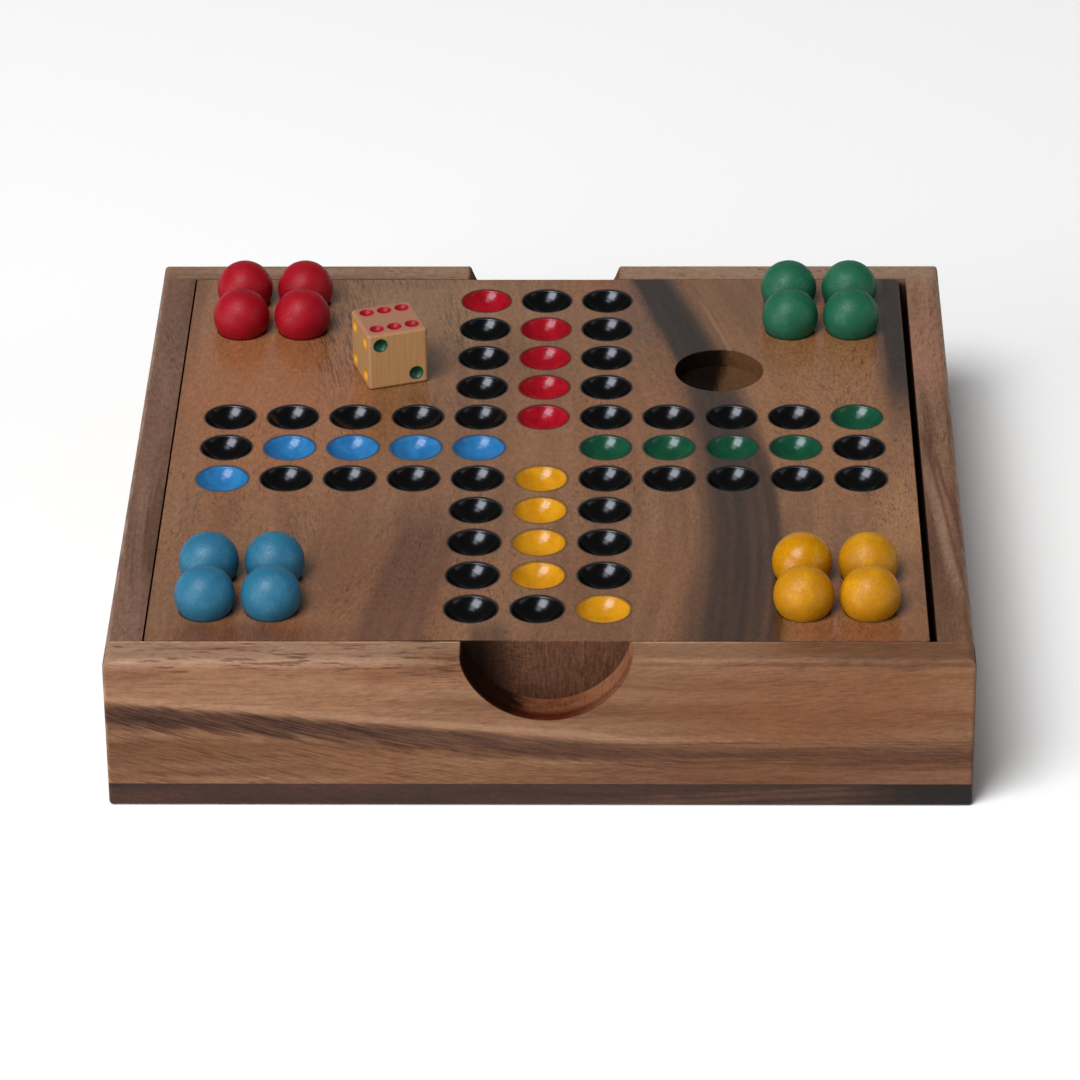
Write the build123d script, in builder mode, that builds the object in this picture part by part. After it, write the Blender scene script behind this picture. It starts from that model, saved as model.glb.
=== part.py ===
from build123d import *
import math
import os

# Ludo game in a wooden box: a lift-out board with drilled pits, sixteen balls and a die.
# Millimetres. The origin is the centre of the underside, X to the right, Y to the back, Z up.

# Balls, and how far apart they stand in neighbouring pits
ball_diameter = 12.0
ball_clearance = 0.2
ball_spacing = 1.1
pit_depth = 3.0

# Die, the room above it when it is stored, and the round pocket that holds it during play
die_size = 13.0
die_round = 0.7
die_turn = 18.5
die_headroom = 0.8
pip_diameter = 2.8
pip_depth = 0.9
pip_spread = 3.85
pocket_clearance = 0.4
pocket_depth = 4.0
pocket_shift_x = 4.25
pocket_shift_y = 0.95

# Playing board: its plain border outside the outermost pits, and its gaps inside the box
board_thickness = 14.4
side_border = 5.9
front_border = 6.9
back_border = 4.9
board_gap_left = 0.35
board_gap_right = 1.5
board_gap_ends = 0.3
board_corner_round = 0.8
board_edge_round = 0.2

# Box
wall_thickness = 7.3
base_thickness = 5.0
ledge_width = 6.0
corner_round = 0.8
edge_round = 1.8
foot_round = 0.6

# Finger notches in the front and back walls
notch_radius = 16.8
notch_centre_rise = 3.7
notch_edge_round = 0.5
front_notch_x = 1.4
back_notch_x = -1.2

# Pits in each arm of the cross, from the middle of the grid; a home's outer pits are in line with its end
arm_length = 5

# A pit is a cap of a sphere that follows the ball, so the two have one centre
pit_radius = ball_diameter / 2 + ball_clearance
pit_rim_radius = math.sqrt(pit_radius**2 - (pit_radius - pit_depth) ** 2)
pit_pitch = ball_diameter + ball_spacing

# Levels
storage_height = die_size + die_headroom
board_underside = base_thickness + storage_height
board_top = board_underside + board_thickness
pit_centre_z = board_top - pit_depth + pit_radius

# Plan sizes, outwards from the pits
grid_reach = arm_length * pit_pitch + pit_rim_radius
board_width = 2 * (grid_reach + side_border)
board_depth = 2 * grid_reach + front_border + back_border
cavity_width = board_width + board_gap_left + board_gap_right
cavity_depth = board_depth + 2 * board_gap_ends
box_width = cavity_width + 2 * wall_thickness
box_depth = cavity_depth + 2 * wall_thickness

# The board's middle, and the middle of its grid
board_x = (board_gap_left - board_gap_right) / 2
grid_y = (front_border - back_border) / 2

# The die lies in the middle of the plain field between two arms and a home
field_middle = arm_length * pit_pitch / 2
die_place = (board_x - field_middle, grid_y + field_middle)
pocket_place = (board_x + field_middle + pocket_shift_x, grid_y + field_middle + pocket_shift_y)
pocket_diameter = die_size * math.sqrt(2) + pocket_clearance

# A pip is a cap of a sphere
pip_radius = ((pip_diameter / 2) ** 2 + pip_depth**2) / (2 * pip_depth)

# Each player's corner: left or right, front or back
players = {"red": (-1, 1), "green": (1, 1), "blue": (-1, -1), "yellow": (1, -1)}

# Pips of each throw, in steps of pip_spread from the middle of the face
pip_corners = [(-1, 1), (1, 1), (-1, -1), (1, -1)]
pip_patterns = {
    1: [(0, 0)],
    2: [(-1, 1), (1, -1)],
    3: [(-1, 1), (0, 0), (1, -1)],
    4: pip_corners,
    5: pip_corners + [(0, 0)],
    6: pip_corners + [(0, 1), (0, -1)],
}


def pit_place(column, row):
    """Place of a pit that is this many pits to the right of and behind the grid's middle."""
    return (board_x + column * pit_pitch, grid_y + row * pit_pitch)


def track_cells():
    """The cross, three pits wide, without its middle."""
    length = range(-arm_length, arm_length + 1)
    lanes = (-1, 0, 1)
    upright = {(column, row) for column in lanes for row in length}
    across = {(column, row) for column in length for row in lanes}
    return sorted((upright | across) - {(0, 0)})


def home_cells(side_x, side_y):
    """A player's four home pits, left to right, with the back pair first."""
    steps = (arm_length - 1, arm_length)
    rows = sorted((side_y * step for step in steps), reverse=True)
    columns = sorted(side_x * step for step in steps)
    return [(column, row) for row in rows for column in columns]


def make_end_wall(side, notch_x):
    """A wall across the full width with a finger notch: side is -1 at the front, 1 at the back."""
    outer_y = side * box_depth / 2
    middle_y = outer_y - side * wall_thickness / 2
    with BuildPart() as wall:
        with BuildSketch(Plane.XY.offset(base_thickness)):
            with Locations((0, middle_y)):
                Rectangle(box_width, wall_thickness)
        extrude(amount=board_top - base_thickness)
        outward = Axis((0, 0, 0), (0, side, 0))
        top_edges = wall.faces().sort_by(Axis.Z)[-1].edges()
        outer_top = top_edges.sort_by(outward)[1:]
        fillet(outer_top, edge_round)
        # The upright corners are eased less than the top edges, which meet above them in a mitre
        with BuildSketch(Plane.XY.offset(base_thickness)) as plan:
            with Locations((0, middle_y)):
                Rectangle(box_width, wall_thickness)
            fillet(plan.vertices().group_by(outward)[-1], corner_round)
        extrude(amount=board_top - base_thickness, mode=Mode.INTERSECT)
        with BuildSketch(Plane.XZ.offset(-middle_y)):
            with Locations((notch_x, board_top + notch_centre_rise)):
                Circle(notch_radius)
        extrude(amount=wall_thickness, both=True, mode=Mode.SUBTRACT)
        notch_edges = wall.faces().filter_by(GeomType.CYLINDER).sort_by(SortBy.AREA)[-1].edges()
        # This rounding starts on the top and runs on around the outer edge of the notch
        fillet(notch_edges.filter_by(Axis.Y).group_by(Axis.Z)[-1], notch_edge_round)
    return wall


with BuildPart() as front_wall:
    add(make_end_wall(-1, front_notch_x))
front_wall.part.label = "front_wall"
export_step(front_wall.part, "parts/front_wall.step")

with BuildPart() as back_wall:
    add(make_end_wall(1, back_notch_x))
back_wall.part.label = "back_wall"
export_step(back_wall.part, "parts/back_wall.step")

# The side walls are glued between the end walls
with BuildPart() as right_wall:
    with BuildSketch(Plane.XZ):
        with Locations((box_width / 2 - wall_thickness / 2, (base_thickness + board_top) / 2)):
            Rectangle(wall_thickness, board_top - base_thickness)
    extrude(amount=cavity_depth / 2, both=True)
    outer_top = right_wall.edges().filter_by(Axis.Y).group_by(Axis.Z)[-1].sort_by(Axis.X)[-1]
    fillet(outer_top, edge_round)
right_wall.part.label = "right_wall"
export_step(right_wall.part, "parts/right_wall.step")

with BuildPart() as left_wall:
    add(mirror(right_wall.part, about=Plane.YZ, mode=Mode.PRIVATE))
left_wall.part.label = "left_wall"
export_step(left_wall.part, "parts/left_wall.step")

with BuildPart() as base_panel:
    with BuildSketch():
        RectangleRounded(box_width, box_depth, corner_round)
    extrude(amount=base_thickness)
    fillet(base_panel.faces().sort_by(Axis.Z)[0].edges(), foot_round)
base_panel.part.label = "base_panel"
export_step(base_panel.part, "parts/base_panel.step")

# Two strips along the side walls carry the board and leave the storage space under it
with BuildPart() as right_ledge:
    with BuildSketch(Plane.XY.offset(base_thickness)):
        with Locations((cavity_width / 2 - ledge_width / 2, 0)):
            Rectangle(ledge_width, cavity_depth)
    extrude(amount=storage_height)
right_ledge.part.label = "right_ledge"
export_step(right_ledge.part, "parts/right_ledge.step")

with BuildPart() as left_ledge:
    add(mirror(right_ledge.part, about=Plane.YZ, mode=Mode.PRIVATE))
left_ledge.part.label = "left_ledge"
export_step(left_ledge.part, "parts/left_ledge.step")

with BuildPart() as playing_board:
    with BuildSketch(Plane.XY.offset(board_underside)):
        with Locations((board_x, 0)):
            RectangleRounded(board_width, board_depth, board_corner_round)
    extrude(amount=board_thickness)
    fillet(playing_board.faces().filter_by(Axis.Z).edges(), board_edge_round)
    with BuildSketch(Plane.XY.offset(board_top)):
        with Locations(pocket_place):
            Circle(pocket_diameter / 2)
    extrude(amount=-pocket_depth, mode=Mode.SUBTRACT)
    cells = track_cells()
    for side_x, side_y in players.values():
        cells += home_cells(side_x, side_y)
    with Locations(*[(*pit_place(column, row), pit_centre_z) for column, row in cells]):
        Sphere(pit_radius, mode=Mode.SUBTRACT)
playing_board.part.label = "playing_board"
export_step(playing_board.part, "parts/playing_board.step")

for colour, (side_x, side_y) in players.items():
    for number, (column, row) in enumerate(home_cells(side_x, side_y), start=1):
        with BuildPart(Plane(origin=(*pit_place(column, row), pit_centre_z))) as ball:
            Sphere(ball_diameter / 2)
        ball.part.label = f"{colour}_ball_{number}"
        export_step(ball.part, f"parts/{colour}_ball_{number}.step")

# The die lies on the board, turned about Z, with opposite faces adding up to seven
turn = math.radians(die_turn)
die_front = (math.cos(turn), math.sin(turn), 0)
half = die_size / 2
die_faces = {
    6: Plane(origin=(0, 0, half), x_dir=(1, 0, 0), z_dir=(0, 0, 1)),
    1: Plane(origin=(0, 0, -half), x_dir=(1, 0, 0), z_dir=(0, 0, -1)),
    2: Plane(origin=(0, -half, 0), x_dir=(1, 0, 0), z_dir=(0, -1, 0)),
    5: Plane(origin=(0, half, 0), x_dir=(-1, 0, 0), z_dir=(0, 1, 0)),
    4: Plane(origin=(-half, 0, 0), x_dir=(0, -1, 0), z_dir=(-1, 0, 0)),
    3: Plane(origin=(half, 0, 0), x_dir=(0, 1, 0), z_dir=(1, 0, 0)),
}
with BuildPart(Plane(origin=(*die_place, board_top + half), x_dir=die_front)) as die:
    Box(die_size, die_size, die_size)
    fillet(die.edges(), die_round)
    for throw, face in die_faces.items():
        with Locations(face):
            steps = [(pip_spread * step_x, pip_spread * step_y) for step_x, step_y in pip_patterns[throw]]
            with Locations(*[(x, y, pip_radius - pip_depth) for x, y in steps]):
                Sphere(pip_radius, mode=Mode.SUBTRACT)
die.part.label = "die"
export_step(die.part, "parts/die.step")

print(f"box {box_width:.2f} x {box_depth:.2f} x {board_top:.2f} mm")
print(f"pit rim diameter {2 * pit_rim_radius:.2f}, pitch {pit_pitch:.2f}, pocket {pocket_diameter:.2f} mm")
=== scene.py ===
import math
from typing import NamedTuple

import bpy
from mathutils import Matrix, Vector, noise


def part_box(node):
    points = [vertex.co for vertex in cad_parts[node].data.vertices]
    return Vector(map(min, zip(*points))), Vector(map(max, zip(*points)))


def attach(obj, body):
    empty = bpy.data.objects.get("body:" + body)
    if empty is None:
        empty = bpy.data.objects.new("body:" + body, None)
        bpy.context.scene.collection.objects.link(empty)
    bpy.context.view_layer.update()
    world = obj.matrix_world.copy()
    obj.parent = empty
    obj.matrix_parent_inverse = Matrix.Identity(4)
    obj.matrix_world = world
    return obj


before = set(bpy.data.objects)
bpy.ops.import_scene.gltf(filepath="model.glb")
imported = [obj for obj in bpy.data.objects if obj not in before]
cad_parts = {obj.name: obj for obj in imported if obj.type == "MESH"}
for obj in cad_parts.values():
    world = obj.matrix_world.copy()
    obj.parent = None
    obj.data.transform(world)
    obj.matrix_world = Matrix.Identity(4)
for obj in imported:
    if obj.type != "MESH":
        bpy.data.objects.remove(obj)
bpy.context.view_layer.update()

# Ludo game in a wooden box: its finishes, the paint in its pits and pips, and the studio around it.
# Metres, in the frame of the model. Sizes written in millimetres are multiplied by MM.
# Shaders work in millimetres of the same frame, and names that end in _MM are meant for them.
MM = 0.001

# The camera of the photograph
CAMERA_PLACE = Vector((19.63, -1012.73, 596.16)) * MM
CAMERA_AZIMUTH = math.radians(1.1804)
CAMERA_ELEVATION = math.radians(29.9869)
CAMERA_ROLL = math.radians(-0.5653)
CAMERA_LENS = 186.655
CAMERA_SENSOR = 36.0
CAMERA_REACH = 20.0

# The studio. Each soft box has its direction from the object, its distance, its width and height,
# and its power.
LIGHTS = {
    "key": ((-0.34, -0.43, 0.84), 2.6, (1.35, 1.35), 68.0),
    "ceiling": ((-0.08, -0.15, 0.98), 2.6, (0.7, 0.7), 7.0),
    "fill": ((-0.78, -0.62, 0.2), 3.2, (2.6, 1.9), 66.0),
    "side": ((0.85, -0.40, 0.35), 3.2, (2.4, 1.8), 15.0),
    "background": ((0.0, 0.95, 0.31), 3.6, (3.4, 1.9), 6.6),
}
LIGHT_TARGET = Vector((0, 0, 0.03))
LIGHT_COLOUR = (0.96, 0.985, 1.0)
BACKDROP_STRENGTH = 0.08
FLOOR_REACH = 4.0
FLOOR_GAP = 0.1 * MM
FLOOR_COLOUR = (0.94, 0.92, 0.905, 1)

# Pits and pips, as they are cut in the model
PIT_DEPTH = 3.0 * MM
PIP_DIAMETER = 2.8 * MM
PIP_DEPTH = 0.9 * MM
PIP_SPREAD = 3.85 * MM
DIE_TURN = math.radians(18.5)
ARM_LENGTH = 5

# The finger notches, across and up, and the pocket for the die, across and back
NOTCH_RADIUS_MM = 16.8
FRONT_NOTCH_MM = (1.4, 36.9)
BACK_NOTCH_MM = (-1.2, 36.9)
POCKET_MM = (36.425, 34.7)
POCKET_RADIUS_MM = 9.39

# Along this stretch of x, near its left end, the box's edges change from one amount of rubbing and painted
# highlight to another
LEFT_END_MM = (-80, -60)

# A face inside the box looks to its middle, so its normal times its place falls below the second of these.
# Everything else is above the first.
INSIDE_MM = (-40, -60)

# Tones that the woods share
# The rubbed tone is paler wood on rubbed edges, and also a painted highlight where they catch the light
RUBBED_AND_LIT_TONE = (170, 138, 116)
# The inside tone is painted shade, for the faces inside the box
INSIDE_SHADE_TONE = (44, 27, 19)
PORE_TONE = (46, 24, 14)

# How far a narrow streak takes to fade out at its ends
FINE_FADE_MM = 8

# Where dark wisps gather on the board: the middle, reach and strength of each patch
WISPS_MM = (
    ((-44, 50), (9, 34), 0.9),
    ((-50, -40), (7, 28), 0.35),
    ((-24, 20), (18, 6), 0.5),
    ((-20, 55), (6, 22), 0.7),
    ((-36, 76), (20, 6), 0.7),
)

# Paint films. The film of a pit laps over its edge with an uneven lip, and the film of a pip ends below it.
PIT_FILM = 0.06 * MM
PIT_LIP = 0.16 * MM
PIP_FILM = 0.025 * MM
SUNK_EDGE = 0.004 * MM

# The lip in section: how far out, as a share of its width, and how high, as a share of its height.
# Its height is a share of the film's thickness, and its edge wavers by a share of its width.
LIP_SECTION = ((0.0, 0.6), (0.35, 1.0), (0.75, 0.7), (1.0, -0.3))
LIP_HEIGHT = 0.25
LIP_WAVER = 0.45

# Each paint: its own tone, where it lies thick, and how it shines
PAINTS = {
    "black": ((7, 6, 6), (4, 4, 4), 0.4),
    "red": ((156, 15, 29), (134, 10, 23), 0.26),
    "green": ((20, 74, 48), (13, 64, 42), 0.4),
    "blue": ((46, 114, 166), (34, 98, 150), 0.32),
    "yellow": ((198, 138, 22), (182, 122, 12), 0.32),
}

# Each dye: its own tone, where it is thin, and where it lies deep in the grain. Then how the wax shines.
DYES = {
    "red": ((150, 9, 25), (162, 26, 39), (122, 7, 20), 0.18),
    "green": ((27, 92, 65), (48, 108, 81), (14, 70, 48), 0.28),
    "blue": ((36, 102, 130), (60, 117, 143), (24, 82, 112), 0.33),
    "yellow": ((182, 122, 0), (208, 150, 6), (162, 100, 0), 0.3),
}

# How rough a ball is, from its softest grain to its hardest. One ball is polished more than the rest.
SHEEN = (0.38, 0.56)
POLISHED_SHEEN = (0.2, 0.3)
POLISHED_BALL = "yellow_ball_1"

# The die's faces by the colour of their pips. Each face has the way that it points before the die is turned,
# its right, and its pips in steps of the spread.
PIP_CORNERS = [(-1, 1), (1, 1), (-1, -1), (1, -1)]
DIE_FACES = {
    "red": [((0, 0, 1), (1, 0, 0), PIP_CORNERS + [(0, 1), (0, -1)])],
    "green": [((0, -1, 0), (1, 0, 0), [(-1, 1), (1, -1)])],
    "yellow": [((-1, 0, 0), (0, -1, 0), PIP_CORNERS)],
    "blue": [((0, 1, 0), (-1, 0, 0), PIP_CORNERS + [(0, 0)])],
    "black": [((1, 0, 0), (0, 1, 0), [(-1, 1), (0, 0), (1, -1)]), ((0, 0, -1), (1, 0, 0), [(0, 0)])],
}


def middle_of(node):
    low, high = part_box(node)
    return (low + high) / 2


BOARD_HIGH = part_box("playing_board")[1]
BOX_LOW, BOX_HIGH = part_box("base_panel")
DIE_LOW, DIE_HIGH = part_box("die")
DIE_HALF = (DIE_HIGH.z - DIE_LOW.z) / 2
BOARD_TOP = BOARD_HIGH.z
PITCH = middle_of("red_ball_2").x - middle_of("red_ball_1").x
GRID = (middle_of("red_ball_1") + middle_of("yellow_ball_4")) / 2
PIT_RADIUS = middle_of("red_ball_1").z - BOARD_TOP + PIT_DEPTH
PIT_RIM = math.sqrt(PIT_RADIUS**2 - (PIT_RADIUS - PIT_DEPTH) ** 2)
BOARD_TOP_MM = BOARD_TOP / MM
PITCH_MM = PITCH / MM
PIT_RIM_MM = PIT_RIM / MM


class Streak(NamedTuple):
    """A streak along the grain, in millimetres. Its middle line and half width are polynomials of the place
    along the grain, and it fades out at both ends of a stretch.
    """
    middle: tuple
    half_width: tuple
    colour: tuple
    along: tuple = (-200, 200)
    fade: float = 12
    strength: float = 1.0
    edge: float = 0.3
    feather: float = 2.0


class Tint(NamedTuple):
    """A soft patch of another tone on the face that shows most, in millimetres."""
    place: tuple
    reach: tuple
    colour: tuple
    strength: float


def fine_line(middle, half_width, colour, along, strength, edge=0.6, feather=0.7):
    """A narrow streak of even width."""
    return Streak(middle, (half_width,), colour, along, FINE_FADE_MM, strength, edge, feather)


def tone(red, green, blue):
    """A colour given as it looks on screen, 0 to 255, as the linear colour that a shader takes."""
    def linear(value):
        value /= 255
        return value / 12.92 if value <= 0.04045 else ((value + 0.055) / 1.055) ** 2.4
    return (linear(red), linear(green), linear(blue), 1.0)


class Graph:
    """One node material. Its methods add nodes, so that a shader reads as a formula."""

    def __init__(self, name, **surface):
        self.material = bpy.data.materials.new(name)
        self.material.use_nodes = True
        self.tree = self.material.node_tree
        self.surface = self.tree.nodes["Principled BSDF"]
        for socket, value in surface.items():
            self.surface.inputs[socket.replace("_", " ")].default_value = value

    def node(self, kind, inputs, **settings):
        made = self.tree.nodes.new("ShaderNode" + kind)
        for key, value in settings.items():
            setattr(made, key, value)
        for key, value in inputs.items():
            if isinstance(value, bpy.types.NodeSocket):
                self.tree.links.new(value, made.inputs[key])
            else:
                made.inputs[key].default_value = value
        return made

    def feed(self, socket, value):
        self.tree.links.new(value, self.surface.inputs[socket])

    def place(self, turn=(0, 0, 0)):
        """The point being shaded, in millimetres of the model's frame, as three sockets."""
        point = self.node("TexCoord", {}).outputs["Object"]
        inputs = {0: point, "Rotation": turn, "Scale": (1 / MM,) * 3}
        turned = self.node("Mapping", inputs, vector_type="POINT")
        return tuple(self.node("SeparateXYZ", {0: turned.outputs[0]}).outputs)

    def normal(self):
        """The way that the surface faces, as three sockets."""
        normal = self.node("TexCoord", {}).outputs["Normal"]
        return tuple(self.node("SeparateXYZ", {0: normal}).outputs)

    def math(self, operation, *values):
        return self.node("Math", dict(enumerate(values)), operation=operation).outputs[0]

    def product(self, first, *others):
        for value in others:
            first = self.math("MULTIPLY", first, value)
        return first

    def away(self, value, place):
        """How far a value is from a place, on either side of it."""
        return self.math("ABSOLUTE", self.math("SUBTRACT", value, place))

    def length(self, first, second):
        """Length of the flat vector that has these two parts."""
        squares = [self.math("MULTIPLY", value, value) for value in (first, second)]
        return self.math("SQRT", self.math("ADD", *squares))

    def distance(self, first, second, middle):
        """Distance in a plane from the point being shaded to a fixed place."""
        offsets = [self.math("SUBTRACT", value, place) for value, place in zip((first, second), middle)]
        return self.length(*offsets)

    def patch(self, flat, place, reach):
        """How far out in a round or oval patch the point lies: 0 in its middle and 1 at its reach."""
        offsets = [
            self.math("DIVIDE", self.math("SUBTRACT", value, middle), size)
            for value, middle, size in zip(flat, place, reach)
        ]
        return self.length(*offsets)

    def polynomial(self, variable, terms):
        """The sum of the terms, each times the next power of the variable."""
        total = terms[-1]
        for term in reversed(terms[:-1]):
            total = self.math("MULTIPLY_ADD", total, variable, term)
        return total

    def noise(self, point, scales, detail=2.0, roughness=0.5, shift=0.0):
        """Noise from 0 to 1, whose features are this many millimetres long along each axis."""
        parts = {}
        for axis, (value, size) in enumerate(zip(point, scales)):
            parts[axis] = self.math("DIVIDE", value, size)
        parts[2] = self.math("ADD", parts[2], shift)
        vector = self.node("CombineXYZ", parts).outputs[0]
        inputs = {"Vector": vector, "Scale": 1.0, "Detail": detail, "Roughness": roughness}
        return self.node("TexNoise", inputs).outputs["Fac"]

    def step(self, value, low, high, start=0.0, end=1.0):
        """Goes smoothly from start to end as the value goes from low to high."""
        inputs = {"Value": value, "From Min": low, "From Max": high, "To Min": start, "To Max": end}
        return self.node("MapRange", inputs, interpolation_type="SMOOTHSTEP").outputs["Result"]

    # A Mix node has sockets 6 and 7 for colours, and 2 and 3 for plain values

    def mix(self, factor, first, second, blend="MIX"):
        made = self.node("Mix", {0: factor, 6: first, 7: second}, data_type="RGBA", blend_type=blend)
        return made.outputs[2]

    def blend(self, factor, first, second):
        """Like mix, for plain values."""
        return self.node("Mix", {0: factor, 2: first, 3: second}, data_type="FLOAT").outputs[0]

    def tinge(self, colour, stain, *masks):
        """The colour with a tone over it, as far as all the masks let the tone through."""
        return self.mix(self.product(*masks), colour, tone(*stain))

    def shade(self, colour, value):
        """The colour times a plain value."""
        grey = self.node("CombineColor", {0: value, 1: value, 2: value}).outputs[0]
        return self.mix(1.0, colour, grey, "MULTIPLY")

    def bump(self, height, distance, strength=1.0):
        inputs = {"Height": height, "Distance": distance, "Strength": strength}
        return self.node("Bump", inputs).outputs["Normal"]


def streak_mask(graph, point, shift, streak):
    """How much of a streak covers this point, with edges that feather out along the fibres."""
    across, along, deep = point
    offset = graph.math("SUBTRACT", across, graph.polynomial(along, streak.middle))
    local = (offset, along, deep)
    rough = graph.noise(local, (1.1, 18, 1.1), 3, 0.65, shift + 3.1)
    slow = graph.noise(local, (8, 26, 8), 1, 0.5, shift + 5.7)
    wander = graph.math("MULTIPLY_ADD", graph.math("ADD", rough, slow), streak.feather, -streak.feather)
    distance = graph.math("ABSOLUTE", graph.math("ADD", offset, wander))
    share = graph.math("DIVIDE", distance, graph.polynomial(along, streak.half_width))
    body = graph.step(share, 1 + streak.edge, 1 - streak.edge, 0.0, streak.strength)
    low, high = streak.along
    starts = graph.step(along, low - streak.fade, low + streak.fade)
    ends = graph.step(along, high + streak.fade, high - streak.fade)
    veins = graph.noise(local, (2.2, 90, 2.2), 2, 0.6, shift + 8.2)
    return graph.product(body, starts, ends, graph.step(veins, 0.30, 0.55, 0.78, 1.0))


def rubbed_and_lit_edges(graph, point, x, normal, grain, wear_and_highlight, shift):
    """How far the rounded top edges and the upright corners are painted paler, broken up in places: partly
    rubbing, partly a painted highlight where they catch the light.
    """
    outward = normal[0] if grain == "Y" else normal[1]
    rounding = graph.math("MULTIPLY", normal[2], graph.math("ABSOLUTE", outward))
    corner = graph.math("ABSOLUTE", graph.math("MULTIPLY", normal[0], normal[1]))
    rounding = graph.math("MAXIMUM", rounding, corner)
    broken = graph.noise(point, (3, 7, 3), 3, 0.6, shift + 15.2)
    broken = graph.step(broken, 0.40, 0.64, 0.1, 1.0)
    worn_and_lit = graph.math("MULTIPLY", broken, graph.step(x, *LEFT_END_MM, *wear_and_highlight))
    return graph.math("MULTIPLY", graph.step(rounding, 0.36, 0.49), worn_and_lit)


def shaded_inner_faces(graph, x, y, z, normal, strength):
    """Painted shade on the faces that look to the middle of the box, from just below their top edge down."""
    outward = graph.math("ADD", graph.math("MULTIPLY", normal[0], x), graph.math("MULTIPLY", normal[1], y))
    inward_shade = graph.step(outward, *INSIDE_MM, 0.0, strength)
    return graph.math("MULTIPLY", inward_shade, graph.step(z, BOARD_TOP_MM - 0.3, BOARD_TOP_MM - 2.0))


def fibres_and_pores(graph, straight, bent, fibre_length, pore, shift):
    """Interlocked grain: its fibres and pores lean one way in one ribbon and the other way in the next."""
    across, along, deep = straight
    ribbon = graph.step(graph.noise(bent, (9, 130, 9), 1, 0.5, shift + 7.3), 0.46, 0.54)
    leaning = []
    for lean in (0.20, -0.10):
        skewed = (graph.math("MULTIPLY_ADD", along, lean, across), along, deep)
        fibres = graph.noise(skewed, (0.32, fibre_length, 0.32), 3, 0.6, shift + lean)
        pores = graph.noise(skewed, (0.40, fibre_length * 1.3, 0.40), 2, 0.6, shift + 6.6 + lean)
        leaning.append((fibres, pores))
    fibres, pores = (graph.blend(ribbon, first, second) for first, second in zip(*leaning))
    gathered = graph.noise(bent, (14, 34, 14), 1, 0.5, shift + 12.1)
    pores = graph.math("SUBTRACT", pores, graph.step(gathered, 0.40, 0.62, 0.69, 0.55))
    return fibres, graph.step(pores, 0.0, 0.12, 0.0, pore)


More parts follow.
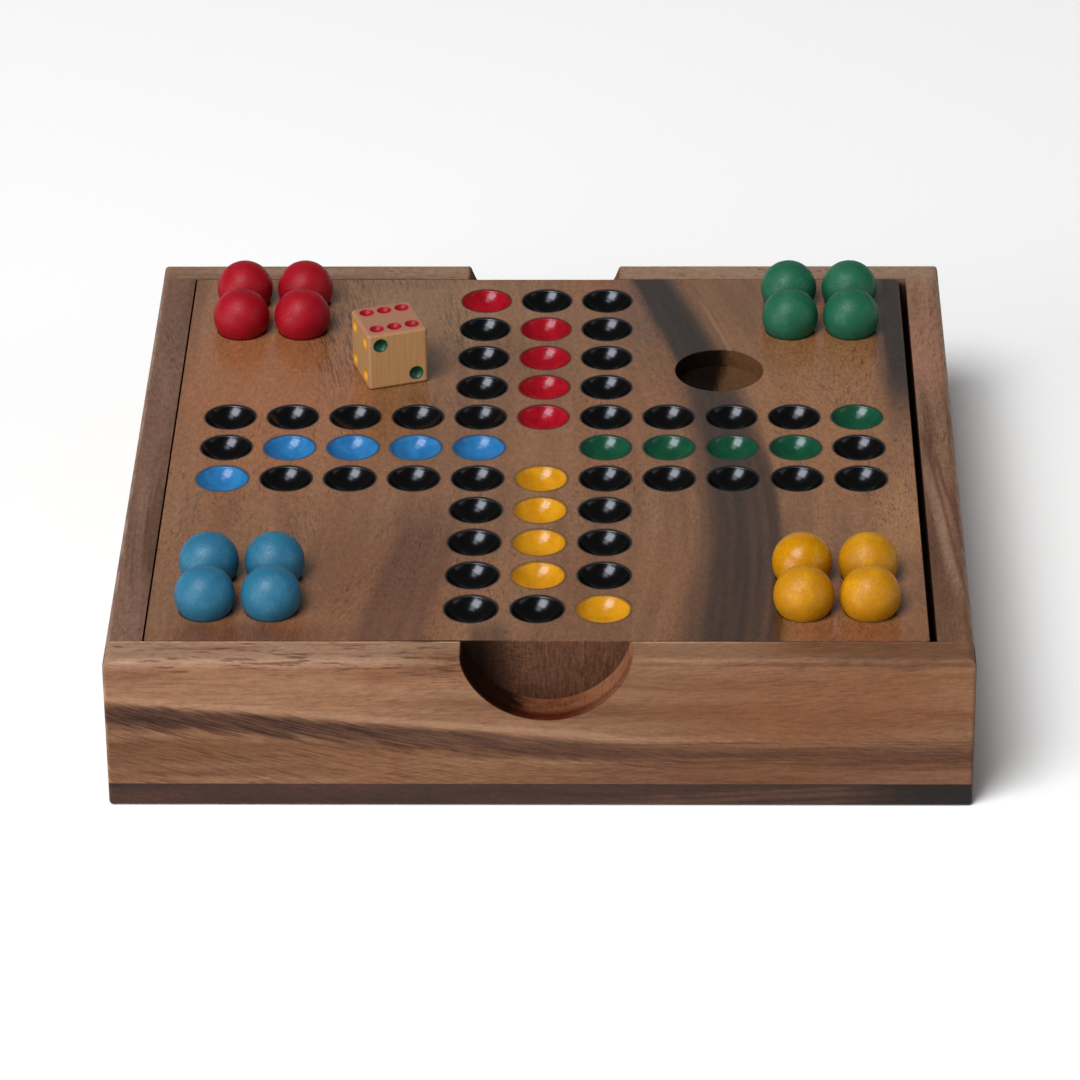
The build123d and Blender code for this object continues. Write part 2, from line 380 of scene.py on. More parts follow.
def wood(
    name, grain, tones, face="xy", streaks=(), tints=(), shift=0.0, roughness=0.45, gloss=0.38,
    end_tone=(70, 38, 26), stripes=0.32, stripe_length=45, fibre_length=3.4, pore=0.5, speckle=0.22,
    wear_and_highlight=None, inner=0.0, flow=None, detail=None,
):
    """Lacquered hardwood with interlocked grain along X or Y.

    Its tones are dark, light and warm. Wear and highlight is how far its edges are painted paler, partly as
    rubbing and partly as a painted highlight, at the box's left end and beyond it. Inner is how much painted
    shade darkens the faces inside the box.
    Each field of noise has its own shift, so that no two are alike.
    """
    graph = Graph(name, Specular_IOR_Level=gloss)
    x, y, z = graph.place()
    point = (x, y, z) if grain == "Y" else (z, x, y)
    across, along, deep = point
    dark, light, warm = (tone(*colour) for colour in tones)

    # Broad bands that wander a little, and fine lines along them
    if flow:
        across = graph.math("ADD", across, flow(graph, x, y))
    straight = (across, along, deep)
    drift = graph.math("MULTIPLY_ADD", graph.noise(straight, (26, 85, 26), 2, 0.5, shift), 11.0, -5.5)
    bent = (graph.math("ADD", across, drift), along, deep)
    bands = graph.noise(bent, (7, 150, 9), 2, 0.55, shift + 1.3)
    lines = graph.noise(bent, (0.9, stripe_length, 0.9), 3, 0.6, shift + 2.2)
    clouds = graph.noise(point, (24, 40, 24), 2, 0.5, shift + 4.4)
    figure = graph.math("MULTIPLY_ADD", lines, stripes, graph.math("ADD", bands, -stripes / 2))
    colour = graph.mix(graph.step(figure, 0.34, 0.66), dark, light)
    colour = graph.mix(graph.step(clouds, 0.42, 0.70, 0.0, 0.6), colour, warm)

    # Patches of another tone with ragged edges, and streaks
    flat = (x, y) if face == "xy" else (x, z)
    ragged = graph.noise(bent, (2.5, 16, 2.5), 3, 0.6, shift + 9.9)
    ragged = graph.math("MULTIPLY_ADD", ragged, 0.9, -0.45)
    for tint in tints:
        far = graph.math("ADD", graph.patch(flat, tint.place, tint.reach), ragged)
        colour = graph.tinge(colour, tint.colour, graph.step(far, 1.15, 0.25, 0.0, tint.strength))
    for streak in streaks:
        colour = graph.tinge(colour, streak.colour, streak_mask(graph, point, shift, streak))

    # The ends of a board drink more lacquer, and are darker
    normal = graph.normal()
    lengthwise = normal[1] if grain == "Y" else normal[0]
    ends = graph.step(graph.math("ABSOLUTE", lengthwise), 0.7, 0.97)
    colour = graph.tinge(colour, end_tone, ends, 0.75)
    matt = ends
    # Paler rounded edges and corners: rubbing, and a painted highlight where they catch the light
    if wear_and_highlight:
        rubbed_and_lit = rubbed_and_lit_edges(graph, point, x, normal, grain, wear_and_highlight, shift)
        colour = graph.tinge(colour, RUBBED_AND_LIT_TONE, rubbed_and_lit)
    # Painted shade on the faces inside the box, in the gaps beside the board
    if inner:
        colour = graph.tinge(colour, INSIDE_SHADE_TONE, shaded_inner_faces(graph, x, y, z, normal, inner))
    if detail:
        colour, cut = detail(graph, colour, x, y, z)
        matt = graph.math("MAXIMUM", ends, cut)
        graph.feed("Specular Tint", graph.mix(matt, (1, 1, 1, 1), (0.25, 0.16, 0.12, 1)))

    fibres, pores = fibres_and_pores(graph, straight, bent, fibre_length, pore, shift)
    contrast = 0.10 + 0.025 * fibre_length
    mottle = graph.noise(point, (0.8, 1.1, 0.8), 3, 0.7, shift + 5.1)
    mottle = graph.step(mottle, 0.2, 0.8, 1 - speckle, 1 + speckle)
    streaky = graph.step(fibres, 0.25, 0.75, 1 - contrast, 1 + contrast)
    colour = graph.shade(colour, graph.math("MULTIPLY", streaky, mottle))
    graph.feed("Base Color", graph.tinge(colour, PORE_TONE, pores))
    level = graph.step(lines, 0.2, 0.8, roughness - 0.05, roughness + 0.08)
    graph.feed("Roughness", graph.math("MULTIPLY_ADD", matt, 0.45, level))
    height = graph.math("SUBTRACT", graph.math("MULTIPLY", fibres, 0.5), pores)
    graph.feed("Normal", graph.bump(height, 0.04 * MM, 0.45))
    return graph.material


def board_flow(graph, x, y):
    """Moves the board's grain sideways, so that it follows the main streak, and the faint one on the left."""
    main = graph.polynomial(y, (0.0, 0.10, 0.00144))
    near = graph.math("MULTIPLY", graph.step(x, -12, 18), graph.step(x, 74, 52))
    front = graph.math("MINIMUM", graph.math("ADD", y, 8.0), 0.0)
    left = graph.math("MULTIPLY", graph.math("MULTIPLY", front, front), 0.0018)
    beside = graph.math("MULTIPLY", graph.step(x, -64, -40), graph.step(x, 4, -12))
    return graph.math("ADD", graph.math("MULTIPLY", main, near), graph.math("MULTIPLY", left, beside))


def board_marks(graph, colour, x, y, z):
    """A pale line beside the main streak, dark wisps that lean across the grain, and short dark specks."""
    vein = graph.away(x, graph.polynomial(y, (46.2, -0.11, -0.0014)))
    vein = graph.step(vein, 0.8, 0.1, 0.0, 0.45)
    colour = graph.tinge(colour, (148, 108, 78), vein, graph.step(y, 18, 34), graph.step(y, 72, 60))

    leaning = (graph.math("MULTIPLY_ADD", y, 0.19, x), y, z)
    wisps = graph.noise(leaning, (0.32, 5.0, 0.5), 3, 0.6, 41.0)
    wisps = graph.step(wisps, 0.47, 0.62, 0.0, 0.85)
    near = 0.0
    for place, reach, strength in WISPS_MM:
        gathered = graph.step(graph.patch((x, y), place, reach), 1.2, 0.3, 0.0, strength)
        near = graph.math("MAXIMUM", near, gathered)
    colour = graph.tinge(colour, (66, 43, 32), wisps, near)

    specks = graph.noise((x, y, z), (0.30, 0.75, 0.30), 2, 0.6, 45.0)
    specks = graph.step(specks, 0.54, 0.68, 0.0, 0.5)
    return graph.tinge(colour, (80, 47, 31), specks, graph.step(x, 40, 52, 0.4, 1.0))


def die_pocket(graph, colour, x, y, z, fibres):
    """The pocket was cut without much sanding, and the main streak crosses it. Its inside is painted darker
    as painted shade, and its left part near black, where painted shadow from its left wall falls on the
    streak.
    """
    inside = graph.step(graph.distance(x, y, POCKET_MM), POCKET_RADIUS_MM + 0.35, POCKET_RADIUS_MM + 0.1)
    inside = graph.math("MULTIPLY", inside, graph.step(z, BOARD_TOP_MM - 0.05, BOARD_TOP_MM - 0.3))
    side = graph.math("MULTIPLY_ADD", graph.math("SUBTRACT", y, POCKET_MM[1]), -0.15, x)
    side = graph.math("MULTIPLY_ADD", fibres, 2.4, side)
    # Painted shade: near black on the left, where painted shadow of the left wall falls on the streak, and a
    # shaded brown on the right
    floor = graph.mix(graph.step(side, 36.0, 39.4), tone(7, 4, 2), tone(86, 58, 37))
    return graph.mix(graph.math("MULTIPLY", inside, 0.95), colour, floor), inside


def soaked_and_shaded_pits(graph, x, y, fibres):
    """How far paint has soaked into the wood around the pits of the track, with painted shade at their rims.
    """
    cells = [
        graph.math("DIVIDE", graph.math("SUBTRACT", value, middle / MM), PITCH_MM)
        for value, middle in ((x, GRID.x), (y, GRID.y))
    ]
    offsets = [graph.math("SUBTRACT", cell, graph.math("ROUND", cell)) for cell in cells]
    reach = graph.math("MULTIPLY", graph.length(*offsets), PITCH_MM)
    ragged = graph.math("MULTIPLY_ADD", fibres, 0.35, reach)
    soaked = graph.step(ragged, PIT_RIM_MM + 0.8, PIT_RIM_MM + 0.2, 0.0, 0.75)
    column, row = (graph.math("ABSOLUTE", cell) for cell in cells)
    outer = graph.math("MAXIMUM", column, row)
    arms = graph.product(
        graph.math("LESS_THAN", graph.math("MINIMUM", column, row), 1.5),
        graph.math("LESS_THAN", outer, ARM_LENGTH + 0.5),
        graph.math("GREATER_THAN", outer, 0.5),
    )
    return graph.math("MULTIPLY", soaked, arms)


def board_ends(graph, colour, x, y, z, fibres):
    """Rough upright fibres where the saw crossed the grain, and painted shadow, near black, on the left of
    the end face.
    """
    end = BOARD_HIGH.y / MM
    end_face = graph.step(graph.math("ABSOLUTE", y), end - 0.25, end - 0.1)
    upright = graph.noise((x, z, y), (0.32, 4.0, 2.0), 3, 0.65, 19.0)
    colour = graph.tinge(colour, (34, 18, 13), end_face, graph.step(upright, 0.35, 0.65, 0.5, 0.0))
    fuzz = graph.noise((x, z, y), (0.5, 0.8, 0.5), 3, 0.7, 25.0)
    colour = graph.tinge(colour, (116, 82, 64), end_face, graph.step(fuzz, 0.45, 0.75, 0.0, 0.35))
    # Painted shadow: the left of the end face, shaded by the notch's left side, goes near black
    left = graph.step(graph.math("MULTIPLY_ADD", fibres, 3.0, x), -1.0, -10.5, 0.0, 0.96)
    left = graph.math("MULTIPLY", left, graph.step(x, -32, -20))
    return graph.tinge(colour, (9, 4, 2), end_face, left), end_face


def board_detail(graph, colour, x, y, z):
    fibres = graph.noise((x, y, z), (0.8, 9, 0.8), 3, 0.6, 17.0)
    colour = board_marks(graph, colour, x, y, z)
    colour, pocket = die_pocket(graph, colour, x, y, z, fibres)
    # Dark rings round the track pits: soaked paint, and painted shade at their rims
    colour = graph.tinge(colour, (40, 24, 17), soaked_and_shaded_pits(graph, x, y, fibres))
    colour, end_face = board_ends(graph, colour, x, y, z, fibres)
    return colour, graph.math("MAXIMUM", pocket, end_face)


def front_detail(graph, colour, x, y, z):
    """The front wall: a dark streak with a saw-toothed lower edge, and the lines around it."""
    left = graph.math("MINIMUM", graph.math("SUBTRACT", x, 20.0), 0.0)
    slow = graph.noise((x, z, y), (22, 30, 30), 2, 0.5, 2.0)
    above = graph.math("SUBTRACT", z, graph.math("ADD", graph.polynomial(left, (11.3, -0.09)), slow))
    level = (z, x, y)
    slanting = (graph.math("ADD", z, graph.polynomial(x, (0.0, 0.175, -0.0012))), x, y)
    teeth = graph.noise(slanting, (0.9, 10, 3), 3, 0.6, 4.0)
    fine = graph.noise(slanting, (0.36, 8, 2), 3, 0.6, 6.0)

    # Slanting lines fill the wood under the streak and thin out above it
    hatch = graph.math("MULTIPLY_ADD", fine, 0.6, graph.math("MULTIPLY", teeth, 0.4))
    hatch = graph.step(hatch, 0.48, 0.60, 0.0, 0.6)
    fading = (graph.step(above, 3.0, -3.0), graph.step(x, 60, -60, 0.4, 1.0))
    colour = graph.tinge(colour, (86, 50, 36), hatch, *fading)

    # A pale line lies on the streak
    pale = graph.step(graph.away(above, 3.3), 1.3, 0.3, 0.0, 0.6)
    colour = graph.tinge(colour, (156, 119, 94), pale, graph.step(x, 40, 10))

    # The streak itself, thinner on the right
    thin = graph.step(x, -20, 40, 0.0, 0.9)
    upper = graph.math("MULTIPLY_ADD", teeth, 3.0, graph.math("ADD", above, thin))
    lower = graph.math("MULTIPLY_ADD", teeth, 7.0, graph.math("SUBTRACT", above, thin))
    streak = graph.product(
        graph.step(upper, 4.6, 2.8),
        graph.step(lower, -0.6, 2.4),
        graph.step(x, -50, 40, 0.94, 0.5),
        graph.step(fine, 0.32, 0.60, 0.68, 1.0),
    )
    core = graph.noise(slanting, (1.6, 14, 4), 2, 0.6, 31.0)
    heart = graph.mix(graph.step(core, 0.35, 0.65), tone(64, 39, 34), tone(42, 25, 22))
    colour = graph.mix(streak, colour, heart)

    # On the right it breaks up into thin dark lines
    strands = graph.noise(level, (0.5, 26, 3), 3, 0.6, 53.0)
    strands = graph.step(strands, 0.48, 0.60, 0.0, 0.6)
    fading = (graph.step(x, -5, 30), graph.step(graph.math("ABSOLUTE", above), 4.5, 2.0))
    colour = graph.tinge(colour, (76, 48, 38), strands, *fading)

    # A dark line runs along the top edge, to the right of the notch
    groove = graph.step(graph.away(z, BOARD_TOP_MM - 0.95), 0.6, 0.15, 0.0, 0.5)
    fading = (graph.step(x, 16, 22), graph.step(slow, 0.3, 0.55, 0.4, 1.0))
    colour = graph.tinge(colour, (80, 52, 38), groove, *fading)

    # Fine reddish lines along the upper left
    reddish = graph.noise(level, (0.34, 26, 2), 2, 0.6, 27.0)
    reddish = graph.step(reddish, 0.54, 0.66, 0.0, 0.5)
    fading = (graph.step(above, 2.0, 5.0), graph.step(x, 30, -10, 0.3, 1.0))
    colour = graph.tinge(colour, (122, 72, 48), reddish, *fading)

    # Short dark flecks near the top edge
    flecks = graph.noise(level, (0.7, 7, 0.9), 3, 0.65, 14.0)
    flecks = graph.step(flecks, 0.52, 0.64, 0.0, 0.7)
    colour = graph.tinge(colour, (78, 46, 28), flecks, graph.step(z, 28.0, 31.0), graph.step(x, 2, -14))

    # The sharp inner top edge is painted pale in broken patches: some rubbing, and a painted highlight where
    # it catches the light
    inner_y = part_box("front_wall")[1].y / MM
    edge = graph.step(y, inner_y - 0.75, inner_y - 0.3)
    edge = graph.math("MULTIPLY", edge, graph.step(z, BOARD_TOP_MM - 0.2, BOARD_TOP_MM - 0.1))
    broken = graph.noise((x, y, z), (9, 3, 3), 3, 0.6, 35.0)
    fading = (graph.step(broken, 0.36, 0.58, 0.1, 0.75), graph.step(x, 60, 30, 0.15, 1.0))
    colour = graph.tinge(colour, (170, 138, 112), edge, *fading)
    return notch_stain_and_shade(graph, colour, x, y, z, FRONT_NOTCH_MM, 0.9, 1.0)


def back_detail(graph, colour, x, y, z):
    return notch_stain_and_shade(graph, colour, x, y, z, BACK_NOTCH_MM, 0.35, 0.15)


def notch_stain_and_shade(graph, colour, x, y, z, middle, stain, burn_and_shade):
    """The cutter left the finger notch rough and burnt its outer edge. Its left side is painted near black,
    partly burnt and partly painted shade, and its right side is painted lighter, as painted light.
    """
    inside = graph.step(graph.distance(x, z, middle), NOTCH_RADIUS_MM + 0.65, NOTCH_RADIUS_MM + 0.25)
    flame = graph.noise((x, y, z), (3.5, 1.6, 3.5), 2, 0.6, 21.0)
    fine = graph.noise((x, y, z), (0.5, 3.0, 0.5), 2, 0.6, 23.0)
    side = graph.math("SUBTRACT", x, middle[0])
    cut = graph.mix(graph.step(flame, 0.3, 0.7), tone(90, 48, 29), tone(110, 66, 45))
    # Painted light: the cut is lighter towards its right side
    cut = graph.tinge(cut, (128, 84, 60), graph.step(side, 3, 13, 0.0, 0.8))
    cut = graph.tinge(cut, (66, 30, 16), graph.step(fine, 0.45, 0.7, 0.0, 0.4))
    colour = graph.mix(graph.math("MULTIPLY", inside, stain), colour, cut)

    outside = graph.math("SUBTRACT", graph.math("ABSOLUTE", y), BOX_HIGH.y / MM)
    ragged = graph.math("MULTIPLY_ADD", flame, 1.6, outside)
    burnt_and_shaded = graph.math("MULTIPLY", inside, burn_and_shade)
    rim = graph.math("MULTIPLY", graph.step(ragged, -2.2, -0.3), graph.step(side, 14, 2, 0.45, 0.92))
    colour = graph.tinge(colour, (58, 17, 8), rim, burnt_and_shaded)
    # Painted shade, with some burning: the left side of the notch goes near black
    scorched_and_shaded = graph.step(graph.math("MULTIPLY_ADD", flame, 5.0, side), 1.0, -5.0, 0.0, 0.96)
    return graph.tinge(colour, (20, 8, 4), scorched_and_shaded, burnt_and_shaded), inside


def front_wood():
    return wood(
        "front_wood", "X", ((101, 67, 45), (132, 96, 71), (121, 81, 54)), "xz",
        tints=[
            Tint((-55, 27), (55, 9), (145, 106, 79), 0.8),
            Tint((-62, 33), (50, 2.5), (156, 124, 102), 0.6),
            Tint((55, 24), (45, 12), (117, 73, 46), 0.6),
            Tint((70, 33), (32, 2.2), (92, 61, 43), 0.7),
            Tint((32, 33.2), (16, 1.5), (134, 101, 78), 0.4),
            Tint((50, 7), (55, 6), (97, 61, 41), 0.65),
            Tint((-30, 29.5), (9, 2.5), (125, 78, 52), 0.5),
        ],
        shift=11.0, gloss=0.1, pore=0.25, speckle=0.1, wear_and_highlight=(0.6, 0.1), inner=0.85, detail=front_detail,
    )


def back_wood():
    return wood(
        "back_wood", "X", ((112, 82, 64), (142, 113, 93), (131, 96, 74)), "xz",
        shift=15.0, gloss=0.1, wear_and_highlight=(0.5, 0.15), inner=0.85, detail=back_detail,
    )


def left_wood():
    return wood(
        "left_wood", "Y", ((82, 56, 43), (122, 91, 74), (111, 77, 59)),
        tints=[
            Tint((-81, 60), (9, 50), (90, 66, 57), 0.45),
            Tint((-81, 4), (9, 26), (98, 70, 56), 0.5),
            Tint((-81, -70), (9, 24), (126, 92, 78), 0.4),
        ],
        shift=23.0, gloss=0.1, fibre_length=2.4, wear_and_highlight=(0.4, 0.4), inner=0.85,
    )


def right_wood():
    return wood(
        "right_wood", "Y", ((90, 62, 47), (126, 94, 74), (116, 80, 60)),
        streaks=[
            fine_line((79.4, -0.065, 0.00025), 0.45, (88, 50, 34), (-54, 2), 0.6),
            fine_line((80.2, -0.119, -0.0002), 0.4, (84, 48, 34), (-44, 0), 0.6),
            fine_line((81.6, -0.09, 0.0), 0.35, (84, 48, 34), (-60, -14), 0.5),
            fine_line((77.9, -0.073, 0.00023), 0.9, (146, 116, 98), (-60, -4), 0.4, feather=0.9),
        ],
        tints=[
            Tint((81, 84), (9, 22), (150, 118, 92), 0.7),
            Tint((81, 46), (9, 34), (146, 104, 84), 0.75),
            Tint((84, -42), (3, 34), (96, 62, 52), 0.5),
            Tint((81, -66), (9, 22), (94, 64, 46), 0.6),
        ],
        shift=29.0, gloss=0.1, wear_and_highlight=(0.3, 0.3), inner=0.9,
    )


def base_wood():
    return wood(
        "base_wood", "X", ((26, 13, 8), (66, 40, 28), (48, 26, 18)), "xz",
        streaks=[
            fine_line((-0.6, 0.055), 0.55, (92, 58, 43), (16, 70), 0.5, edge=0.7, feather=1.2),
            fine_line((0.9, 0.052), 0.4, (92, 58, 43), (18, 62), 0.45, edge=0.7, feather=1.2),
            fine_line((-2.2, 0.055), 0.4, (84, 52, 38), (46, 76), 0.45, edge=0.7, feather=1.2),
            Streak((2.8,), (3.4,), (14, 9, 6), (66, 200), fade=10, strength=0.85, edge=0.4),
        ],
        tints=[
            Tint((-14, 2.5), (28, 4), (38, 27, 18), 0.5),
            Tint((15, 0.5), (45, 2.5), (72, 43, 30), 0.6),
            Tint((84, 2), (26, 6), (34, 21, 16), 0.8),
        ],
        shift=37.0, gloss=0.25, stripes=0.5,
    )


def board_wood():
    """The dark streak that runs from front to back on the right is bent, and darkest at the back."""
    bend = -0.00144
    return wood(
        "board_wood", "Y", ((109, 72, 46), (129, 90, 62), (130, 82, 50)),
        streaks=[
            Streak(
                (38.4, -0.10, bend), (6.8, -0.03, 0.0001), (66, 43, 29),
                strength=0.95, edge=0.4, feather=2.6,
            ),
            Streak((38.0, -0.10, bend), (4.2, -0.01), (38, 22, 14), strength=0.7, edge=0.5),
            Streak((37.6, -0.10, bend), (4.6, -0.01), (18, 12, 9), (34, 120), strength=0.7),
            Streak(
                (44.2, -0.13, bend), (1.5,), (36, 20, 12), (-90, 4),
                strength=0.7, edge=0.5, feather=0.8,
            ),
            Streak((80.0, -0.02), (8.6, 0.01), (15, 10, 7), (16, 120), fade=20, strength=0.95),
            Streak((-24.5, -0.02), (6.0, 0.01), (84, 62, 40), (34, 120), fade=16, strength=0.15),
            Streak((-17.5, 0.16), (5.5, -0.02), (66, 32, 24), (-120, -28), strength=0.5),
            Streak((-10.0,), (4.0,), (44, 28, 21), (-200, -70), fade=4, strength=0.6),
        ],
        tints=[
            Tint((-58, 22), (30, 55), (148, 92, 56), 0.7),
            # Painted shade: the next two patches darken the board's front edge in front of the blue and the
            # yellow balls, where the balls shade it and block its sheen
            Tint((-58, -75), (24, 7), (92, 48, 28), 0.6),
            Tint((64, -75), (20, 6), (120, 68, 41), 0.6),
            Tint((72, -30), (8, 24), (162, 114, 74), 0.6),
            Tint((60, 22), (22, 50), (144, 98, 61), 0.6),
            Tint((20, 60), (8, 22), (94, 70, 56), 0.5),
            Tint((-30, -48), (18, 30), (108, 66, 42), 0.6),
            Tint((-10, 62), (14, 18), (140, 98, 66), 0.6),
            Tint((-28, 62), (22, 28), (142, 107, 79), 0.6),
            Tint((0, 0), (10, 26), (134, 92, 60), 0.5),
        ],
        shift=3.0, roughness=0.24, gloss=0.5, end_tone=(86, 55, 43), stripes=0.2, stripe_length=16,
        fibre_length=1.8, flow=board_flow, detail=board_detail,
    )


def soaked_pips(graph, local, normal, right, pips):
    """How far paint has soaked into the wood around the pips of one face of the die."""
    up = Vector(normal).cross(Vector(right))
    outward, first, second = (
        graph.math("MULTIPLY", local[axis], way[axis])
        for way in (normal, right, up) for axis in range(3) if way[axis]
    )
    spread = PIP_SPREAD / MM
    rim = PIP_DIAMETER / 2 / MM
    distances = [graph.distance(first, second, (spread * across, spread * along)) for across, along in pips]
    nearest = distances[0]
    for distance in distances[1:]:
        nearest = graph.math("MINIMUM", nearest, distance)
    soaked = graph.step(nearest, rim + 0.24, rim + 0.12)
    return graph.math("MULTIPLY", soaked, graph.math("GREATER_THAN", outward, DIE_HALF / MM - 0.2))


def die_wood():
    """Pale unstained wood with upright grain, so that its top is end grain."""
    graph = Graph("die_wood", Roughness=0.5, Specular_IOR_Level=0.3)
    place = graph.place((0, 0, -DIE_TURN))
    middle = Matrix.Rotation(-DIE_TURN, 3, "Z") @ middle_of("die") / MM
    local = [graph.math("SUBTRACT", value, offset) for value, offset in zip(place, middle)]
    point = (local[0], local[2], local[1])
    lines = graph.noise(point, (0.55, 14, 0.55), 3, 0.6)
    cloud = graph.noise(point, (4, 9, 4), 2, 0.5, 5.0)
    colour = graph.mix(graph.step(lines, 0.3, 0.7), tone(174, 129, 82), tone(186, 142, 95))
    colour = graph.tinge(colour, (180, 128, 90), graph.step(cloud, 0.45, 0.8, 0.0, 0.5))

    # The left face is painted darker, as painted shade, and the top is darker end grain
    normal = graph.normal()
    leftward = graph.math("MULTIPLY", normal[0], -math.cos(DIE_TURN))
    leftward = graph.math("MULTIPLY_ADD", normal[1], -math.sin(DIE_TURN), leftward)
    colour = graph.tinge(colour, (146, 108, 74), graph.step(leftward, 0.2, 0.8, 0.0, 0.6))
    colour = graph.tinge(colour, (147, 99, 80), graph.step(normal[2], 0.2, 0.8, 0.0, 0.85))

    for paint, faces in DIE_FACES.items():
        for face in faces:
            colour = graph.tinge(colour, PAINTS[paint][0], soaked_pips(graph, local, *face))
    graph.feed("Base Color", colour)
    graph.feed("Normal", graph.bump(lines, 0.03 * MM, 0.3))
    return graph.material


def enamel(name, colour, deep, gloss):
    """Thick gloss paint, a little uneven in tone and level. It is dull around a pit, and on the die."""
    graph = Graph(name, Specular_IOR_Level=gloss, Specular_Tint=(0.87, 0.89, 1.0, 1.0))
    point = graph.place()
    height = graph.math("SUBTRACT", point[2], BOARD_TOP_MM)
    from_top = graph.math("ABSOLUTE", height)
    dull = graph.step(height, 0.2, 0.4, 0.18, 0.42)
    graph.feed("Roughness", graph.math("MAXIMUM", dull, graph.step(from_top, 0.35, 0.1, 0.0, 0.75)))
    cloud = graph.noise(point, (3.0, 3.0, 3.0), 2, 0.6)
    paint = graph.mix(graph.step(cloud, 0.3, 0.7), tone(*deep), tone(*colour))
    thin = graph.noise(point, (1.4, 1.4, 1.4), 2, 0.6, 9.0)
    thin = graph.math("MULTIPLY_ADD", thin, 0.3, graph.math("SUBTRACT", from_top, 0.15))
    graph.feed("Base Color", graph.tinge(paint, (22, 12, 9), graph.step(thin, 0.35, 0.05, 0.0, 0.6)))
    ripple = graph.noise(point, (0.5, 0.5, 0.5), 3, 0.6, 3.0)
    graph.feed("Normal", graph.bump(ripple, 0.03 * MM, 0.5))
    return graph.material


def dyed_ball(name, colour, pale, deep, wax, turn, sheen):
    """A turned wooden ball, dyed and waxed, with faint grain, flecks and worn spots."""
    graph = Graph(name, Specular_IOR_Level=wax)
    point = graph.place(turn)
    lines = graph.noise(point, (0.45, 4.0, 0.45), 3, 0.6)
    cloud = graph.noise(point, (3.2, 4.5, 3.2), 3, 0.6, 2.0)
    fleck = graph.noise(point, (0.25, 0.9, 0.25), 2, 0.5, 7.0)
    speckle = graph.noise(point, (0.3, 0.4, 0.3), 2, 0.7, 11.0)
    dye = graph.tinge(tone(*colour), deep, graph.step(lines, 0.25, 0.75, 0.0, 0.55))
    dye = graph.tinge(dye, pale, graph.step(cloud, 0.45, 0.75, 0.0, 0.45))
    dye = graph.tinge(dye, deep, graph.step(fleck, 0.62, 0.74, 0.0, 0.6))
    graph.feed("Base Color", graph.shade(dye, graph.step(speckle, 0.25, 0.75, 0.86, 1.13)))
    graph.feed("Roughness", graph.step(lines, 0.3, 0.7, *sheen))
    height = graph.math("SUBTRACT", lines, graph.step(fleck, 0.64, 0.74, 0.0, 0.8))
    graph.feed("Normal", graph.bump(height, 0.04 * MM, 0.6))
    return graph.material


def film_profile(radius, depth, film, lip, steps):
    """Radius and height of a film of paint, from the bottom of a round recess to its rim and over its lip."""
    sunk = 0.0 if lip else SUNK_EDGE
    level = radius - depth + sunk
    rim = math.sqrt(radius**2 - level**2)
    inner = radius - film
    last = math.acos(level / (radius if lip else inner))
    profile = []
    for step in range(1, steps + 1):
        angle = last * step / steps
        profile.append((inner * math.sin(angle), radius - depth - inner * math.cos(angle)))
    if not lip:
        return profile + [(rim, -sunk)]
    edge = film * LIP_HEIGHT
    return profile + [(rim + lip * out, edge * height) for out, height in LIP_SECTION]


def paint_film(name, material, recesses, body, radius, depth, film, lip, segments, steps):
    """Paint that fills a set of round recesses: each is a matrix, with its Z pointing out of the recess."""
    profile = film_profile(radius, depth, film, lip, steps)
    vertices = []
    faces = []
    for number, matrix in enumerate(recesses):
        first = len(vertices)
        vertices.append(matrix @ Vector((0, 0, film - depth)))
        for row, (reach, height) in enumerate(profile):
            for segment in range(segments):
                angle = 2 * math.pi * segment / segments
                side = Vector((math.cos(angle), math.sin(angle), 0))
                grow = 0.0
                if row > steps:
                    # The lip of each recess wavers in its own way
                    waver = noise.noise(side * 2.3 + Vector((number * 5.1, 0, row * 0.2)))
                    grow = lip * LIP_WAVER * waver
                vertices.append(matrix @ (side * (reach + grow) + Vector((0, 0, height))))
        for segment in range(segments):
            after = (segment + 1) % segments
            faces.append((first, first + 1 + segment, first + 1 + after))
            for row in range(len(profile) - 1):
                low = first + 1 + row * segments
                high = low + segments
                faces.append((low + segment, high + segment, high + after, low + after))
    mesh = bpy.data.meshes.new(name)
    mesh.from_pydata(vertices, [], faces)
    mesh.materials.append(material)
    mesh.shade_smooth()
    piece = bpy.data.objects.new(name, mesh)
    bpy.context.scene.collection.objects.link(piece)
    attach(piece, body)


def quarter_turn(column, row, turns):
    """A cell of the board after this many quarter turns to the right, seen from above."""
    for _ in range(turns):
        column, row = row, -column
    return column, row


def painted_cells():
    """The colour of each track pit. Red lies to the back, and each next colour a quarter turn on."""
    cells = {}
    lanes = (-1, 0, 1)
    arm = range(-ARM_LENGTH, ARM_LENGTH + 1)
    for column in arm:
        for row in arm:
            if (column in lanes or row in lanes) and (column, row) != (0, 0):
                cells[(column, row)] = "black"
    for turns, colour in enumerate(("red", "green", "yellow", "blue")):
        cells[quarter_turn(-1, ARM_LENGTH, turns)] = colour
        for row in range(1, ARM_LENGTH):
            cells[quarter_turn(0, row, turns)] = colour
    return cells


def paint_pits(enamels):
    cells = painted_cells()
    for colour, material in enamels.items():
        recesses = [
            Matrix.Translation((GRID.x + column * PITCH, GRID.y + row * PITCH, BOARD_TOP))
            for (column, row), painted in cells.items() if painted == colour
        ]
        paint_film(
            f"pit_paint_{colour}", material, recesses, "board",
            PIT_RADIUS, PIT_DEPTH, PIT_FILM, PIT_LIP, segments=56, steps=14,
        )


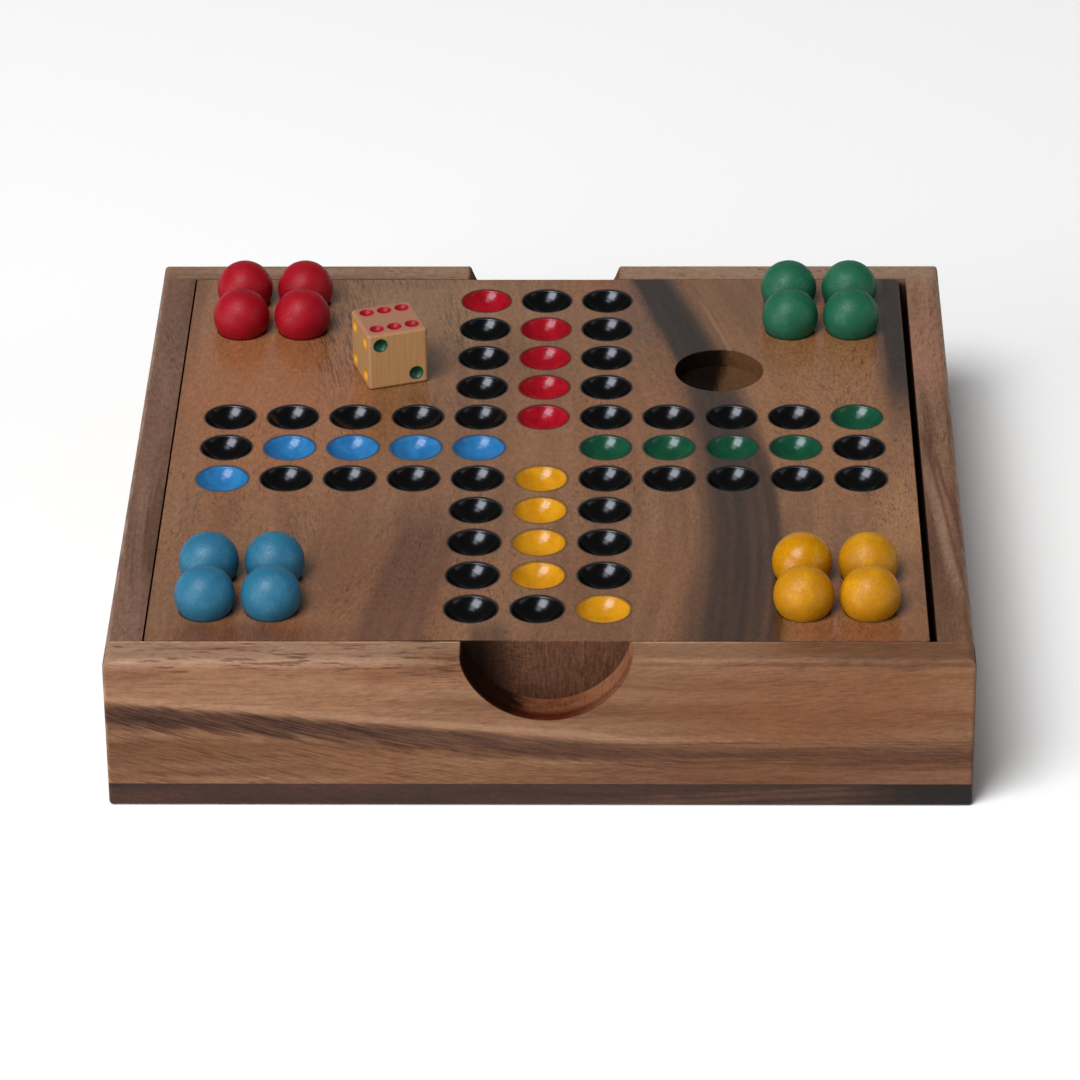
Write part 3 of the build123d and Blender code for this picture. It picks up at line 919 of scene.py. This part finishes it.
def paint_pips(enamels):
    pose = Matrix.Translation(middle_of("die")) @ Matrix.Rotation(DIE_TURN, 4, "Z")
    radius = ((PIP_DIAMETER / 2) ** 2 + PIP_DEPTH**2) / (2 * PIP_DEPTH)
    for colour, faces in DIE_FACES.items():
        recesses = []
        for normal, right, pips in faces:
            normal = Vector(normal)
            right = Vector(right)
            up = normal.cross(right)
            turn = Matrix((right, up, normal)).transposed().to_4x4()
            for across, along in pips:
                place = normal * DIE_HALF + (right * across + up * along) * PIP_SPREAD
                recesses.append(pose @ Matrix.Translation(place) @ turn)
        paint_film(
            f"pip_paint_{colour}", enamels[colour], recesses, "die",
            radius, PIP_DEPTH, PIP_FILM, 0.0, segments=32, steps=10,
        )


def give(node, material):
    """Puts one material on a node of the model."""
    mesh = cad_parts[node].data
    mesh.materials.clear()
    mesh.materials.append(material)


def finish_box():
    give("front_wall", front_wood())
    give("back_wall", back_wood())
    give("left_wall", left_wood())
    give("right_wall", right_wood())
    give("base_panel", base_wood())
    ledge = wood("ledge_wood", "Y", ((132, 94, 62), (164, 124, 88), (142, 98, 66)), shift=41.0)
    give("left_ledge", ledge)
    give("right_ledge", ledge)


def finish_balls():
    """Each ball is turned another way, so that its grain is its own."""
    for player, (colour, dye) in enumerate(DYES.items()):
        for number in range(1, 5):
            node = f"{colour}_ball_{number}"
            turn = (0.7 * player + 0.9 * number, 1.3 * number, 0.8 * player + 0.5 * number)
            sheen = POLISHED_SHEEN if node == POLISHED_BALL else SHEEN
            give(node, dyed_ball(f"{node}_dye", *dye, turn, sheen))


def make_camera():
    data = bpy.data.cameras.new("camera")
    data.lens = CAMERA_LENS
    data.sensor_width = CAMERA_SENSOR
    data.clip_end = CAMERA_REACH
    camera = bpy.data.objects.new("camera", data)
    turn = Matrix.Rotation(CAMERA_AZIMUTH, 4, "Z")
    turn @= Matrix.Rotation(math.pi / 2 - CAMERA_ELEVATION, 4, "X")
    turn @= Matrix.Rotation(CAMERA_ROLL, 4, "Z")
    camera.matrix_world = Matrix.Translation(CAMERA_PLACE) @ turn
    bpy.context.scene.collection.objects.link(camera)
    bpy.context.scene.camera = camera


def make_light(name, direction, distance, size, power):
    data = bpy.data.lights.new(name, "AREA")
    data.shape = "RECTANGLE"
    data.size, data.size_y = size
    data.energy = power
    data.color = LIGHT_COLOUR
    light = bpy.data.objects.new(name, data)
    direction = Vector(direction).normalized()
    light.location = LIGHT_TARGET + direction * distance
    light.rotation_euler = direction.to_track_quat("Z", "Y").to_euler()
    bpy.context.scene.collection.objects.link(light)


def make_floor():
    mesh = bpy.data.meshes.new("floor")
    level = BOX_LOW.z - FLOOR_GAP
    sides = ((-1, -1), (1, -1), (1, 1), (-1, 1))
    corners = [(FLOOR_REACH * side_x, FLOOR_REACH * side_y, level) for side_x, side_y in sides]
    mesh.from_pydata(corners, [], [range(4)])
    graph = Graph("floor", Base_Color=FLOOR_COLOUR, Roughness=0.9, Specular_IOR_Level=0.1)
    mesh.materials.append(graph.material)
    floor = bpy.data.objects.new("floor", mesh)
    bpy.context.scene.collection.objects.link(floor)


def make_studio():
    for name, settings in LIGHTS.items():
        make_light(name, *settings)
    world = bpy.data.worlds.new("studio")
    world.use_nodes = True
    backdrop = world.node_tree.nodes["Background"]
    backdrop.inputs["Color"].default_value = (1, 1, 1, 1)
    backdrop.inputs["Strength"].default_value = BACKDROP_STRENGTH
    bpy.context.scene.world = world
    bpy.context.scene.view_settings.view_transform = "Standard"
    make_floor()


make_camera()
make_studio()
finish_box()
give("playing_board", board_wood())
give("die", die_wood())
finish_balls()
enamels = {colour: enamel(f"{colour}_enamel", *look) for colour, look in PAINTS.items()}
paint_pits(enamels)
paint_pips(enamels)
